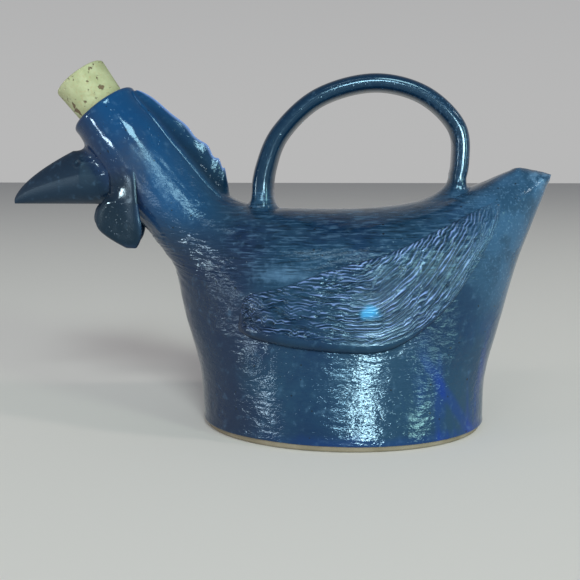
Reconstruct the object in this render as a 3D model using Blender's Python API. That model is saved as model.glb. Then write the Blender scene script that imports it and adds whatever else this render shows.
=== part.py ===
"""Hen-shaped stoneware oil bottle with a cork in its mouth.

The pot is a stack of rings. Each ring joins a point on the front outline to a point on the rear
outline; the rear outline runs up the rump, round the tail and along the back to the nape, so the
same rings close the body over and carry on as the slanted neck. +X is the tail, -X the beak,
+Z up, and the origin is the middle of the underside.
"""
import math
from typing import NamedTuple

import bmesh
import bpy
import numpy as np

# Driving sizes, in metres.
BASE_LENGTH = 0.130
BASE_WIDTH = 0.100
SLAB_THICKNESS = 0.005
BACK_HEIGHT = 0.100
WALL = 0.005
TAIL_REACH = 0.0272
TAIL_RISE = 0.0185
NECK_ANGLE = math.radians(53)
NECK_WIDTH = 0.039
LIP_WIDTH = 0.0326
MOUTH_REACH = 0.0458
MOUTH_RISE = 0.0449
CORK_TOP = 0.0254
CORK_BOTTOM = 0.0210
CORK_LENGTH = 0.03175
CORK_PROUD = 0.0178
COMB_HEIGHT = 0.0084
COMB_THICKNESS = 0.0045
BEAK_LENGTH = 0.0353
BEAK_WIDTH = 0.0240
BEAK_DEPTH = 0.0271
WATTLE_LENGTH = 0.0400
WATTLE_WIDTH = 0.0205
WATTLE_THICKNESS = 0.0055
HANDLE_SPAN = 0.0895
HANDLE_RISE = 0.0555
HANDLE_WIDTH = 0.0190
HANDLE_THICKNESS = 0.0088
WING_RELIEF = 0.0042
WING_ROLL = 0.0028
FEATHER_PITCH = 0.0042
FEATHER_DEPTH = 0.0007
FEATHER_COUNT = 5
SEAM = 0.0003

# Smoothness of the skins.
ROUND_STEPS = 40
BODY_STEPS = 28
NECK_STEPS = 10

HALF_LENGTH = BASE_LENGTH / 2
HALF_WIDTH = BASE_WIDTH / 2


class Ring(NamedTuple):
    """A closed curve round the pot, from a front point to a rear point."""

    front_x: float
    front_z: float
    rear_x: float
    rear_z: float
    half_width: float
    dip: float = 0.0
    pinch: float = 0.0


def spline(knots, t):
    """Smooth curve through the rows of knots; t counts the rows from 0."""
    knots = np.asarray(knots, dtype=float)
    before = 2 * knots[0] - knots[1]
    after = 2 * knots[-1] - knots[-2]
    padded = np.vstack([before, knots, after])
    t = np.asarray(t, dtype=float)
    i = np.clip(np.floor(t).astype(int), 0, len(knots) - 2)
    s = (t - i)[..., None]
    a, b, c, d = (padded[i + k] for k in range(4))
    return b + 0.5 * s * (c - a + s * (2 * a - 5 * b + 4 * c - d + s * (3 * (b - c) + d - a)))


def straight(knots, t):
    """The same from row to row in straight lines."""
    knots = np.asarray(knots, dtype=float)
    i = np.clip(np.floor(t).astype(int), 0, len(knots) - 2)
    s = (t - i)[..., None]
    return knots[i] * (1 - s) + knots[i + 1] * s


def loft(rings, t, angle, curve=spline):
    """Points of a skin: t counts the rings, angle goes round from the rear end."""
    t, angle = np.broadcast_arrays(t, angle)
    values = curve(rings, t)
    front_x, front_z, rear_x, rear_z, half_width, dip, pinch = np.moveaxis(values, -1, 0)
    c = np.cos(angle)
    s = np.sin(angle)
    x = (front_x + rear_x) / 2 + (rear_x - front_x) / 2 * c
    y = half_width * s * (1 - pinch * ((1 + c) / 2) ** 4)
    z = (front_z + rear_z) / 2 + (rear_z - front_z) / 2 * c - dip * s ** 2
    return np.stack([x, y, z], axis=-1)


def normals(rings, t, angle):
    """Unit outward normals of a skin, from small steps along it."""
    step = 0.002
    top = len(rings) - 1
    high = np.minimum(np.asarray(t) + step, top)
    low = np.maximum(np.asarray(t) - step, 0)
    along = loft(rings, high, angle) - loft(rings, low, angle)
    around = loft(rings, t, angle + step) - loft(rings, t, angle - step)
    out = np.cross(around, along)
    return out / np.linalg.norm(out, axis=-1, keepdims=True)


def solid(name, rows, material, tube=False):
    """One closed body from rows of points that each close round; a tube joins last row to first."""
    rows = np.asarray(rows)
    count = rows.shape[1]
    mesh = bmesh.new()
    verts = [[mesh.verts.new(point) for point in row] for row in rows]
    pairs = list(zip(verts, verts[1:]))
    if tube:
        pairs.append((verts[-1], verts[0]))
    for low, high in pairs:
        for i in range(count):
            j = (i + 1) % count
            mesh.faces.new((low[i], low[j], high[j], high[i]))
    if not tube:
        for row in (verts[0], verts[-1]):
            middle = mesh.verts.new(np.mean([v.co for v in row], axis=0))
            for i in range(count):
                mesh.faces.new((row[i], row[(i + 1) % count], middle))
    bmesh.ops.recalc_face_normals(mesh, faces=mesh.faces)
    for face in mesh.faces:
        face.smooth = True
    data = bpy.data.meshes.new(name)
    mesh.to_mesh(data)
    mesh.free()
    data.materials.append(material)
    piece = bpy.data.objects.new(name, data)
    bpy.context.scene.collection.objects.link(piece)
    return piece


def cut(piece, *cutters):
    """Take the cutters' room out of a piece."""
    for cutter in cutters:
        cutter.hide_render = True
        cutter.display_type = "WIRE"
        modifier = piece.modifiers.new("seat on " + cutter.name, "BOOLEAN")
        modifier.operation = "DIFFERENCE"
        modifier.solver = "EXACT"
        modifier.object = cutter


def finish(name, colour, roughness):
    """A plain surface finish."""
    material = bpy.data.materials.new(name)
    material.use_nodes = True
    shader = material.node_tree.nodes["Principled BSDF"]
    shader.inputs["Base Color"].default_value = (*colour, 1.0)
    shader.inputs["Roughness"].default_value = roughness
    return material


for old in list(bpy.data.objects):
    bpy.data.objects.remove(old, do_unlink=True)

blue_glaze = finish("blue_glaze", (0.035, 0.060, 0.150), 0.2)
bare_clay = finish("bare_clay", (0.52, 0.40, 0.27), 0.8)
cork_bark = finish("cork_bark", (0.60, 0.42, 0.25), 0.85)

# The neck's own directions: up its axis, and across it from throat to nape.
AXIS = np.array([-math.cos(NECK_ANGLE), 0.0, math.sin(NECK_ANGLE)])
ACROSS = np.array([math.sin(NECK_ANGLE), 0.0, math.cos(NECK_ANGLE)])
MOUTH = np.array([-HALF_LENGTH - MOUTH_REACH, 0.0, BACK_HEIGHT + MOUTH_RISE])


def neck_ring(height, radius):
    """A round ring square to the neck, at a height above the mouth."""
    centre = MOUTH + AXIS * height
    front = centre - ACROSS * radius
    rear = centre + ACROSS * radius
    return Ring(front[0], front[2], rear[0], rear[2], radius)


def level(front, rear, width, dip=0.0, pinch=0.0):
    """A body ring: x in half lengths of the base, heights in back heights, width in half widths."""
    return Ring(front[0] * HALF_LENGTH, front[1] * BACK_HEIGHT, rear[0] * HALF_LENGTH,
                rear[1] * BACK_HEIGHT, width * HALF_WIDTH, dip * BACK_HEIGHT, pinch)


LIP_HEIGHT = -0.045 * LIP_WIDTH
NECK_DEPTH = 0.975 * NECK_WIDTH
FOOT_Z = (SLAB_THICKNESS + SEAM) / BACK_HEIGHT
TIP_X = 1 + TAIL_REACH / HALF_LENGTH
TIP_Z = 1 + TAIL_RISE / BACK_HEIGHT

# The outside of the pot, from the foot up.
OUTSIDE = (
    level((-1.005, FOOT_Z), (0.990, FOOT_Z), 1.0),
    level((-1.032, 0.27), (1.000, 0.25), 0.930),
    level((-1.126, 0.50), (1.100, 0.51), 0.878, dip=0.03),
    level((-1.191, 0.685), (1.218, 0.80), 0.875, dip=0.125, pinch=0.10),
    level((-1.230, 0.75), (TIP_X, TIP_Z - 0.035), 0.86, dip=0.225, pinch=0.57),
    level((-1.262, 0.78), (TIP_X - 0.21, TIP_Z), 0.785, dip=0.185, pinch=0.52),
    level((-1.292, 0.805), (0.80, 1.08), 0.70, dip=0.10, pinch=0.30),
    level((-1.323, 0.83), (0.31, 1.005), 0.605, dip=0.045, pinch=0.10),
    level((-1.354, 0.86), (-0.31, 0.996), 0.505, dip=0.02),
    level((-1.392, 0.895), (-0.77, 1.035), 0.44),
    neck_ring(-NECK_DEPTH, NECK_WIDTH / 2),
    neck_ring(-NECK_DEPTH * 0.5, NECK_WIDTH / 2 * 0.95),
    neck_ring(-NECK_DEPTH * 0.16, NECK_WIDTH / 2 * 0.86),
    neck_ring(LIP_HEIGHT, LIP_WIDTH / 2),
)
TAIL_EDGE, TAIL_TOP = 3, 5
NAPE = 9
MOUTH_END = len(OUTSIDE) - 1


def thinner(ring, front, rear, side):
    """The same ring inside the wall; shifts are counted in wall thicknesses."""
    return ring._replace(front_x=ring.front_x + front[0] * WALL,
                         front_z=ring.front_z + front[1] * WALL,
                         rear_x=ring.rear_x - rear[0] * WALL,
                         rear_z=ring.rear_z - rear[1] * WALL,
                         half_width=ring.half_width - side * WALL)


# The hollow inside it, solid in the tail.
INSIDE = (
    thinner(OUTSIDE[0], (1.0, 0.0), (1.0, 0.0), 1.0),
    thinner(OUTSIDE[1], (1.0, 0.1), (1.0, 0.0), 1.0),
    thinner(OUTSIDE[2], (1.0, 0.2), (1.0, 0.0), 1.0),
    thinner(OUTSIDE[3], (1.0, 0.2), (1.6, 0.8), 1.0),
    thinner(OUTSIDE[4], (1.0, 0.3), (4.0, 3.6), 1.05),
    thinner(OUTSIDE[5], (0.95, 0.35), (3.0, 3.3), 1.35),
    thinner(OUTSIDE[6], (0.9, 0.4), (1.2, 1.7), 1.3),
    thinner(OUTSIDE[7], (0.88, 0.45), (0.4, 1.2), 1.2),
    thinner(OUTSIDE[8], (0.86, 0.5), (0.0, 1.1), 1.1),
    thinner(OUTSIDE[9], (0.82, 0.55), (0.7, 0.9), 1.0),
)

TURN = np.linspace(0, 2 * math.pi, ROUND_STEPS, endpoint=False)
BODY_T = np.linspace(0, NAPE, BODY_STEPS)
NECK_T = np.linspace(NAPE, MOUTH_END, NECK_STEPS)


def skin_rows(rings, t, grow=0.0):
    """Rows of points of a skin at some ring counts, grown outwards."""
    t = np.asarray(t, dtype=float)[:, None]
    return loft(rings, t, TURN[None, :]) + grow * normals(rings, t, TURN[None, :])


def pot_rows(t, grow=0.0):
    """Rows of the pot's outside, with the tail's pinched end drawn out straight to a corner."""
    smooth = skin_rows(OUTSIDE, t, grow)
    rows = np.asarray(t, dtype=float)[:, None]
    crisp = 0.9 * ((1 + np.cos(TURN)) / 2) ** 12 * ((rows > TAIL_EDGE) & (rows < TAIL_TOP))
    shift = loft(OUTSIDE, rows, TURN[None, :], straight) - loft(OUTSIDE, rows, TURN[None, :])
    return smooth + crisp[..., None] * shift


# Body wall: outside up to the nape, then back down the inside.
outer_rows = pot_rows(BODY_T)
inner_rows = skin_rows(INSIDE, np.linspace(NAPE, 0, BODY_STEPS - 5))
body_wall = solid("body_wall", np.concatenate([outer_rows, inner_rows]), blue_glaze, tube=True)

# Base slab: the foot's oval with an eased lower edge.
foot = outer_rows[0]
EDGE = SLAB_THICKNESS * 0.25
slab_rows = []
for height, inset in ((0.0, EDGE), (EDGE * 0.3, EDGE * 0.3), (EDGE, 0.0), (SLAB_THICKNESS, 0.0)):
    shrink = np.array([1 - inset / HALF_LENGTH, 1 - inset / HALF_WIDTH, 0.0])
    slab_rows.append(foot * shrink + np.array([0.0, 0.0, height]))
base_slab = solid("base_slab", slab_rows, bare_clay)

# Neck: outside, rolled lip, tapered seat for the cork, then the hollow back to the nape.
CORK_TAPER = (CORK_TOP - CORK_BOTTOM) / CORK_LENGTH
CORK_DEPTH = CORK_LENGTH - CORK_PROUD


def cork_radius(height):
    """Radius of the cork at a height above the mouth."""
    return (CORK_TOP - CORK_TAPER * (CORK_PROUD - height)) / 2


bore = cork_radius(0.0) + SEAM
lip_middle = (LIP_WIDTH / 2 + bore) / 2
lip_round = (LIP_WIDTH / 2 - bore) / 2
lip = [neck_ring(LIP_HEIGHT + lip_round * 0.9 * math.sin(a), lip_middle + lip_round * math.cos(a))
       for a in np.linspace(0, math.pi, 7)[1:-1]]
seat = [neck_ring(height, cork_radius(height) + SEAM) for height in (LIP_HEIGHT, -CORK_DEPTH)]
hollow = (
    neck_ring(-CORK_DEPTH - WALL, NECK_WIDTH / 2 - WALL),
    neck_ring(-NECK_DEPTH, NECK_WIDTH / 2 - WALL * 0.8),
    INSIDE[NAPE],
)
neck_out = skin_rows(OUTSIDE, NECK_T)
neck_lip = skin_rows(lip, range(len(lip)))
neck_seat = skin_rows(seat, (0, 1))
neck_in = skin_rows(hollow, (0, 0.5, 1, 1.5, 2))
neck_rows = np.concatenate([neck_out, neck_lip, neck_seat, neck_in])
neck_rows[[0, -1], :, 2] += SEAM
neck = solid("neck", neck_rows, blue_glaze, tube=True)

# The pot's skin as a solid, a seam's width larger, for everything that is stuck on.
skin_t = np.concatenate([BODY_T, NECK_T[1:]])
pot_skin = solid("pot_skin", pot_rows(skin_t, SEAM), blue_glaze)


def oval(steps, power):
    """A rounded box of two half sizes 1, as its two coordinates round the turn."""
    turn = np.linspace(0, 2 * math.pi, steps, endpoint=False)
    c = np.cos(turn)
    s = np.sin(turn)
    return np.sign(c) * np.abs(c) ** power, np.sign(s) * np.abs(s) ** power


# Comb: a pinched ridge along the nape, its top edge in waves that lengthen up the neck.
COMB_ROOT = COMB_THICKNESS * 0.9
COMB_FLARE = 2.5
comb_along = np.linspace(0, 1, 23)
comb_t = NAPE + 0.16 + comb_along * (MOUTH_END - NAPE - 0.49)
comb_wave = 0.07 * (1 - comb_along) * np.cos(9.6 * (np.log1p(20 * comb_along) - 0.79))
comb_rise = COMB_HEIGHT * (1 - 0.88 * comb_along ** 1.4 + comb_wave)
nape_line = loft(OUTSIDE, comb_t, 0.0)
nape_out = normals(OUTSIDE, comb_t, 0.0)
side, lift = oval(14, 0.7)
comb_rows = []
for s, point, out, rise in zip(comb_along, nape_line, nape_out, comb_rise):
    lean = max(0.0, 1 - s / 0.3)
    stand = out * (1 - lean) + np.array([0.0, 0.0, lean])
    stand /= stand @ out
    heights = (rise - COMB_ROOT) / 2 + (rise + COMB_ROOT) / 2 * lift
    spread = COMB_THICKNESS / 2 * (1 + COMB_FLARE * ((1 - lift) / 2) ** 2) * side
    comb_rows.append(point + np.outer(heights, stand) + np.outer(spread, (0.0, 1.0, 0.0)))
comb = solid("comb", comb_rows, blue_glaze)
cut(comb, pot_skin)

# Beak: pinched out of the front of the head, level underneath, bowed along the top.
beak_tip = MOUTH + np.array([-1.133, 0.0, -1.118]) * NECK_WIDTH
BEAK_ROOT = BEAK_LENGTH * 0.62


def beak_form(grow):
    """Rows of the beak from its tip back into the head, grown outwards."""
    rows = []
    side, lift = oval(18, 0.85)
    narrow = 1 - 0.35 * np.maximum(lift, 0)
    for run in np.linspace(0.1, 1, 14) ** 2 * (BEAK_LENGTH + BEAK_ROOT):
        s = min(1.0, run / BEAK_LENGTH)
        depth = BEAK_DEPTH * s ** 0.6 / 2
        breadth = BEAK_WIDTH * s ** 0.7 / 2
        x = np.full_like(side, run - grow)
        y = (breadth + grow) * side * narrow
        z = depth + (depth + grow) * lift
        rows.append(beak_tip + np.stack([x, y, z], axis=-1))
    return rows


beak = solid("beak", beak_form(0.0), blue_glaze)
cut(beak, pot_skin)
beak_skin = solid("beak_skin", beak_form(SEAM), blue_glaze)


# Wattles: flat straps down the cheeks, broadening forwards below the beak.
WATTLE_FRONT = (0.34, 0.36, 0.38, 0.64, 0.60, 0.0)
WATTLE_REAR = (0.34, 0.36, 0.38, 0.41, 0.45, 0.36)


def wattle(name, hand, forward):
    """One wattle: rows of ovals from the cheek down to the rounded end, splayed to the rear."""
    top = MOUTH + np.array([0.295 - forward, 0.0, -0.585]) * NECK_WIDTH
    edges = np.stack([WATTLE_FRONT, WATTLE_REAR], axis=1) * WATTLE_WIDTH
    side, lift = oval(16, 0.8)
    rows = []
    for s in np.linspace(0, 1, 14):
        front, rear = spline(edges, s * (len(edges) - 1))
        luted = 1 - min(1, s / 0.30)
        thick = WATTLE_THICKNESS / 2 * (1 - 0.6 * s ** 6) * (1 - 0.7 * luted)
        x = (rear - front) / 2 + (rear + front) / 2 * side
        out = BEAK_WIDTH * (0.60 + 0.125 * (1 - s) ** 1.3 - 0.10 * luted ** 2)
        y = out + thick * lift + (0.45 - 0.15 * s) * x
        z = np.full_like(side, -s * WATTLE_LENGTH)
        rows.append(top + np.stack([x, hand * y, z], axis=-1))
    piece = solid(name, rows, blue_glaze)
    cut(piece, pot_skin, beak_skin)
    return piece


wattle_near = wattle("wattle_near", -1, 0.0)
wattle_far = wattle("wattle_far", 1, 0.17)

# Handle: a pulled strap, straight up from its front root and round to the rump.
handle_path = np.array([
    (0.0, -0.16), (0.0, 0.04), (0.022, 0.32), (0.10, 0.61), (0.29, 0.885), (0.56, 1.0),
    (0.805, 0.91), (0.975, 0.66), (1.0, 0.38), (0.965, 0.15), (0.87, -0.12),
])
handle_x = -0.585 * HALF_LENGTH + handle_path[:, 0] * HANDLE_SPAN
handle_z = BACK_HEIGHT + handle_path[:, 1] * HANDLE_RISE
handle_along = np.linspace(0, 1, 30)
handle_t = handle_along * (len(handle_path) - 1)
handle_line = spline(np.stack([handle_x, np.zeros_like(handle_x), handle_z], axis=-1), handle_t)
handle_run = np.gradient(handle_line, axis=0)
handle_run /= np.linalg.norm(handle_run, axis=1, keepdims=True)
side, lift = oval(14, 0.8)
handle_rows = []
for s, point, run in zip(handle_along, handle_line, handle_run):
    swell = 1 + 0.35 * (1 - min(1, s / 0.35)) ** 1.5 + 0.20 * max(0, (s - 0.85) / 0.15) - 0.15 * s
    out = np.array([-run[2], 0.0, run[0]]) * HANDLE_THICKNESS * swell / 2
    across = np.array([0.0, HANDLE_WIDTH / 2 * (0.9 + 0.1 * swell), 0.0])
    handle_rows.append(point + out * lift[:, None] + across * side[:, None])
handle = solid("handle", handle_rows, blue_glaze)
cut(handle, pot_skin)


def rounded(share):
    """Height of a quarter round, from 0 at its edge to 1."""
    return np.sqrt(1 - (1 - np.clip(share, 0, 1)) ** 2)


# Wings: pads on the sides of the wall. Each edge runs from the front end to the tip, as degrees
# round the pot from the tail and ring counts up it.
WING_LOWER = ((128, 2.01), (119.5, 1.85), (98, 1.71), (73, 1.74), (57.3, 2.41), (49, 3.24), (44.5, 4.21))
WING_UPPER = ((127.5, 2.13), (119, 3.54), (98, 4.58), (78.7, 4.64), (62.3, 4.69), (48.7, 4.60), (41.4, 4.47))
FEATHERED = 1.5 * WING_ROLL + (FEATHER_COUNT + 0.5) * FEATHER_PITCH


def wing(name, hand):
    """A leaf-shaped pad laid on one side of the wall: rolled under along its lower edge, thinned out
    upwards, rounded at its front end, drawn out to a tip, and combed in lines along the lower edge."""
    ease = (1 - np.cos(np.linspace(0, math.pi, 36))) / 2
    u = ease * (len(WING_LOWER) - 1)
    low_angle, low_t = spline(WING_LOWER, u).T[:, :, None]
    high_angle, high_t = spline(WING_UPPER, u).T[:, :, None]

    def place(v):
        """Ring counts and angles at shares of the way up the pad."""
        t = low_t + (high_t - low_t) * v
        return t, hand * np.radians(low_angle + (high_angle - low_angle) * v)

    first = loft(OUTSIDE, *place(np.linspace(0, 1, 9)[None, :]))
    width = np.linalg.norm(np.diff(first, axis=1), axis=2).sum(axis=1)[:, None]
    steps = np.linalg.norm(np.diff(first[:, 4], axis=0), axis=1)
    run = np.concatenate([[0.0], np.cumsum(steps)])[:, None]
    along = run / run[-1]
    lines = 1.5 * WING_ROLL + FEATHER_PITCH * (np.arange(FEATHER_COUNT) + 0.5)
    beside = lines[:, None] + FEATHER_PITCH * np.array([-0.2, 0.0, 0.2])
    reach = np.concatenate([[0.0, WING_ROLL * 0.4, WING_ROLL], beside.ravel()])
    lower_rows = reach / np.maximum(width, FEATHERED)
    upper_rows = 1 - (1 - lower_rows[:, -1:]) * np.array([0.75, 0.5, 0.25, 0.1, 0.0])
    v = np.concatenate([lower_rows, upper_rows], axis=1)
    combed = np.zeros(v.shape[1])
    combed[4:len(reach):3] = 1
    t, angle = place(v)
    point = loft(OUTSIDE, t, angle)
    out = normals(OUTSIDE, t, angle)
    thick = WING_RELIEF * (0.5 + 0.5 * np.sqrt(along)) * (1 - 0.5 * along ** 4) * (1 - 0.7 * v)
    thick = thick - FEATHER_DEPTH * combed * np.minimum(1, width / FEATHERED)
    lower_edge = rounded(v * width / WING_ROLL)
    upper_edge = rounded((1 - v) * width / WING_ROLL)
    ends = rounded(run / (2 * WING_ROLL)) * np.clip((run[-1] - run) / (4 * WING_ROLL), 0, 1)
    relief = SEAM + thick * lower_edge * upper_edge * ends
    lower = point - out * WING_RELIEF / 4
    upper = point + out * (SEAM + relief)[..., None]
    piece = solid(name, np.concatenate([upper, lower[:, ::-3]], axis=1), blue_glaze)
    cut(piece, pot_skin)
    return piece


wing_near = wing("wing_near", -1)
wing_far = wing("wing_far", 1)

# Cork: a standard tapered stopper with eased ends.
EASE = CORK_TOP * 0.03
cork_rings = [
    neck_ring(-CORK_DEPTH, CORK_BOTTOM / 2 - EASE),
    neck_ring(-CORK_DEPTH + EASE, cork_radius(-CORK_DEPTH + EASE)),
    neck_ring(CORK_PROUD - EASE, cork_radius(CORK_PROUD - EASE)),
    neck_ring(CORK_PROUD, CORK_TOP / 2 - EASE),
]
cork_turn = np.linspace(0, 2 * math.pi, 32, endpoint=False)
cork_rows = loft(cork_rings, np.arange(4.0)[:, None], cork_turn[None, :])
cork_stopper = solid("cork_stopper", cork_rows, cork_bark)
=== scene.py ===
"""Hen-shaped stoneware oil bottle: a glazed pot on a bare clay foot, with a cork in its mouth.

Lengths are in metres. +X is the tail, -X the beak, -Y the near side and +Z up.
"""
import math

import bpy
import numpy as np
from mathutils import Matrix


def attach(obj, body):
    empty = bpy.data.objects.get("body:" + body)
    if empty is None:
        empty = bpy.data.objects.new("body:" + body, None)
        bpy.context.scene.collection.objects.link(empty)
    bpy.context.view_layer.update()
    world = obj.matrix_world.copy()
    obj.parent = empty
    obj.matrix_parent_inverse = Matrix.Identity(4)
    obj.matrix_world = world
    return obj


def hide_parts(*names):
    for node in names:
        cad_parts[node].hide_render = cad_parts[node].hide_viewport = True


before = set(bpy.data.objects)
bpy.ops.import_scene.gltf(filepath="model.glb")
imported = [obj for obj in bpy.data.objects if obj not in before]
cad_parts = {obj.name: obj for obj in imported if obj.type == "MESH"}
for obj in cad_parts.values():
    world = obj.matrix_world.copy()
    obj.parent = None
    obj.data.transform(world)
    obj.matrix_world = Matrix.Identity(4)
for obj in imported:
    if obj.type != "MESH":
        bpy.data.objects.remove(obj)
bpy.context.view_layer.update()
scene = bpy.context.scene
scene.view_settings.view_transform = "Standard"

# View: from the near side, standing a little towards the tail and level with its tip, and looking
# slightly down. The lens is worked out for a square frame of 580 pixels.
FRAME_PIXELS = 580
FOCUS_PIXELS = 880
CAMERA_PLACE = (0.0032, -0.4044, 0.1186)
CAMERA_DOWN = math.radians(8)
CAMERA_TURN = math.radians(4)
camera_data = bpy.data.cameras.new("camera")
camera_data.lens = camera_data.sensor_width * FOCUS_PIXELS / FRAME_PIXELS
camera = bpy.data.objects.new("camera", camera_data)
camera.location = CAMERA_PLACE
camera.rotation_euler = (math.pi / 2 - CAMERA_DOWN, 0.0, CAMERA_TURN)
scene.collection.objects.link(camera)
scene.camera = camera

# Clay foot: the slab of buff stoneware that the wall stands on, left bare of glaze where it touched
# the kiln shelf. Its lower edge was sponged round and its underside scraped nearly flat.
HALF_LENGTH = 0.065
HALF_WIDTH = 0.050
FOOT_FRONT = -1.005 * HALF_LENGTH
FOOT_REAR = 0.990 * HALF_LENGTH
SLAB_THICKNESS = 0.005
SLAB_EDGE = 0.0012
SLAB_INSET = 0.0009
SLAB_HOLLOW = 0.0003
SLAB_WANDER = 0.0025
CLAY_DARK = (0.145, 0.128, 0.087)
CLAY_LIGHT = (0.196, 0.177, 0.130)
CLAY_SPOT = (0.16, 0.09, 0.05)
CLAY_GRIT_DEPTH = 0.0002
TURN = np.linspace(0, 2 * math.pi, 300, endpoint=False)
PATCH_CELLS = 64


def ease(share):
    """A smooth step: 0 up to 0, 1 from 1 on, and level at both ends."""
    share = np.clip(share, 0, 1)
    return share ** 2 * (3 - 2 * share)


def patchy(u, v, seed):
    """Smooth noise from -1 to 1: seeded random values at whole numbers, eased between them."""
    grid = np.random.default_rng(seed).uniform(-1, 1, (PATCH_CELLS, PATCH_CELLS))
    u, v = np.broadcast_arrays(u, v)
    i = np.floor(u).astype(int)
    j = np.floor(v).astype(int)
    f = ease(u - i)
    g = ease(v - j)
    next_i = (i + 1) % PATCH_CELLS
    next_j = (j + 1) % PATCH_CELLS
    i = i % PATCH_CELLS
    j = j % PATCH_CELLS
    low = grid[i, j] * (1 - f) + grid[next_i, j] * f
    high = grid[i, next_j] * (1 - f) + grid[next_i, next_j] * f
    return low * (1 - g) + high * g


def closed_skin(name, rows, material, tube=False, ridge=None):
    """A closed piece from rows of points that each go round: quads between neighbouring rows, and
    either the last row joined to the first or a fan from the middle of each end row. Faces are
    turned so that the volume inside is positive. The ridge attribute is above 0 where the glaze
    thins pale over high ground and where a highlight is painted, and below 0 where glaze pools in
    hollows and where shade is painted."""
    count, around = rows.shape[:2]
    points = rows.reshape(-1, 3)
    index = np.arange(count * around).reshape(count, around)
    low = index if tube else index[:-1]
    high = np.roll(index, -1, axis=0) if tube else index[1:]
    corners = (low, np.roll(low, -1, axis=1), np.roll(high, -1, axis=1), high)
    quads = np.stack(corners, axis=-1).reshape(-1, 4)
    fans = np.empty((0, 3), dtype=int)
    if not tube:
        for row in (index[0][::-1], index[-1]):
            middle = np.full(around, len(points))
            points = np.vstack([points, points[row].mean(axis=0)])
            fans = np.vstack([fans, np.stack([row, np.roll(row, -1), middle], axis=-1)])
    triangles = points[np.vstack([quads[:, :3], quads[:, [0, 2, 3]], fans])]
    volume = np.einsum("ij,ij->", triangles[:, 0], np.cross(triangles[:, 1], triangles[:, 2]))
    if volume < 0:
        quads = quads[:, ::-1]
        fans = fans[:, ::-1]
    mesh = bpy.data.meshes.new(name)
    mesh.from_pydata(points.tolist(), [], quads.tolist() + fans.tolist())
    mesh.polygons.foreach_set("use_smooth", np.ones(len(mesh.polygons), dtype=bool))
    if ridge is not None:
        values = np.zeros(len(points))
        values[:count * around] = ridge.ravel()
        mesh.attributes.new("ridge", "FLOAT", "POINT").data.foreach_set("value", values)
    mesh.materials.append(material)
    piece = bpy.data.objects.new(name, mesh)
    scene.collection.objects.link(piece)
    return piece


class Shade:
    """A shader socket that takes part in arithmetic; every operation adds a Math node."""

    def __init__(self, tree, socket=None):
        self.tree = tree
        self.socket = socket

    def node(self, kind, settings, sockets, output=0):
        """Any other node: its settings first, then the values or links of its sockets."""
        made = self.tree.nodes.new("ShaderNode" + kind)
        for name, value in settings.items():
            setattr(made, name, value)
        for key, value in sockets.items():
            if isinstance(value, Shade):
                self.tree.links.new(value.socket, made.inputs[key])
            else:
                made.inputs[key].default_value = value
        return Shade(self.tree, made.outputs[output])

    def maths(self, operation, *values):
        """A Math node on plain values or other Shades."""
        return self.node("Math", {"operation": operation}, dict(enumerate(values)))

    def __add__(self, other):
        return self.maths("ADD", self, other)

    def __sub__(self, other):
        return self.maths("SUBTRACT", self, other)

    def __rsub__(self, other):
        return self.maths("SUBTRACT", other, self)

    def __mul__(self, other):
        return self.maths("MULTIPLY", self, other)

    def __abs__(self):
        return self.maths("ABSOLUTE", self)

    __radd__ = __add__
    __rmul__ = __mul__

    def eased(self, low, high):
        """0 below low and 1 above high, or the other way about if low is the larger."""
        sockets = {"Value": self, "From Min": low, "From Max": high}
        return self.node("MapRange", {"interpolation_type": "SMOOTHSTEP"}, sockets)

    def between(self, low, high):
        """A colour mixed from two, by this value."""
        low = low if isinstance(low, Shade) else (*low, 1.0)
        high = high if isinstance(high, Shade) else (*high, 1.0)
        return self.node("Mix", {"data_type": "RGBA"}, {0: self, 6: low, 7: high}, 2)

    def stretched(self, x, y, z):
        """A place with its three coordinates multiplied."""
        return self.node("VectorMath", {"operation": "MULTIPLY"}, {0: self, 1: (x, y, z)})

    def away(self, point, stretch):
        """Distance from a point, counted more or less along each axis."""
        middle = tuple(p * k for p, k in zip(point, stretch))
        sockets = {0: self.stretched(*stretch), 1: middle}
        return self.node("VectorMath", {"operation": "DISTANCE"}, sockets, "Value")

    def noise(self, scale, detail=2.0):
        """Cloudy noise from 0 to 1 at this place."""
        return self.node("TexNoise", {}, {"Vector": self, "Scale": scale, "Detail": detail})

    def cells(self, scale, output=0):
        """Distance to the nearest of a scatter of points, or with output 1 that point's colour."""
        return self.node("TexVoronoi", {}, {"Vector": self, "Scale": scale}, output)

    def bump(self, depth, below=None):
        """A normal tilted by this height, whose whole range is a depth in metres."""
        sockets = {"Height": self, "Distance": depth}
        if below is not None:
            sockets["Normal"] = below
        return self.node("Bump", {}, sockets)


def new_material(name):
    """A material with its shader, and the place on the object as a Shade."""
    material = bpy.data.materials.new(name)
    material.use_nodes = True
    shader = material.node_tree.nodes["Principled BSDF"]
    place = Shade(material.node_tree).node("TexCoord", {}, {}, "Object")
    return material, shader, place


def dress(shader, **inputs):
    """Link or set a shader's inputs, with underscores for the spaces in their names."""
    tree = shader.id_data
    for name, value in inputs.items():
        socket = shader.inputs[name.replace("_", " ")]
        if isinstance(value, Shade):
            tree.links.new(value.socket, socket)
        else:
            socket.default_value = value


bare_clay, clay_shader, clay_place = new_material("bare_clay")
clay_cloud = clay_place.noise(90.0, 3.0)
clay_grit = clay_place.noise(1600.0, 2.0)
clay_dots = clay_place.cells(700.0).eased(0.16, 0.08)
clay_colour = clay_cloud.eased(0.3, 0.7).between(CLAY_DARK, CLAY_LIGHT)
clay_colour = (clay_dots * 0.7).between(clay_colour, CLAY_SPOT)
dress(clay_shader, Base_Color=clay_colour, Roughness=0.7 + 0.25 * clay_grit,
      Normal=clay_grit.bump(CLAY_GRIT_DEPTH))


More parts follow.
